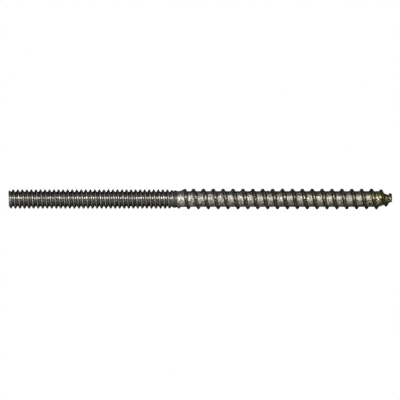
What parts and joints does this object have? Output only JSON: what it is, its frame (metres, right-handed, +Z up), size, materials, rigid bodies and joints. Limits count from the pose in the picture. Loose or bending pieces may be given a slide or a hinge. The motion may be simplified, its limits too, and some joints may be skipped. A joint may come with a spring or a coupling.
{
  "type": "hanger bolt",
  "caption": "Headless steel fastener: a fine machine thread at the stud end, and a coarse wood thread that runs to a blunt gimlet point.",
  "frame": {"origin": "on the surface that the bolt lies on, below the middle of its length", "axes": "+X along the bolt's axis from the stud end towards the point, +Z up"},
  "size_m": [0.0896, 0.0048, 0.0049],
  "materials": {
    "plated_steel": "dull zinc-plated steel, mottled and scuffed, darker in the grooves and slightly yellow at the point"
  },
  "bodies": {
    "root": {"hanger_bolt": "plated_steel"}
  },
  "joints": []
}
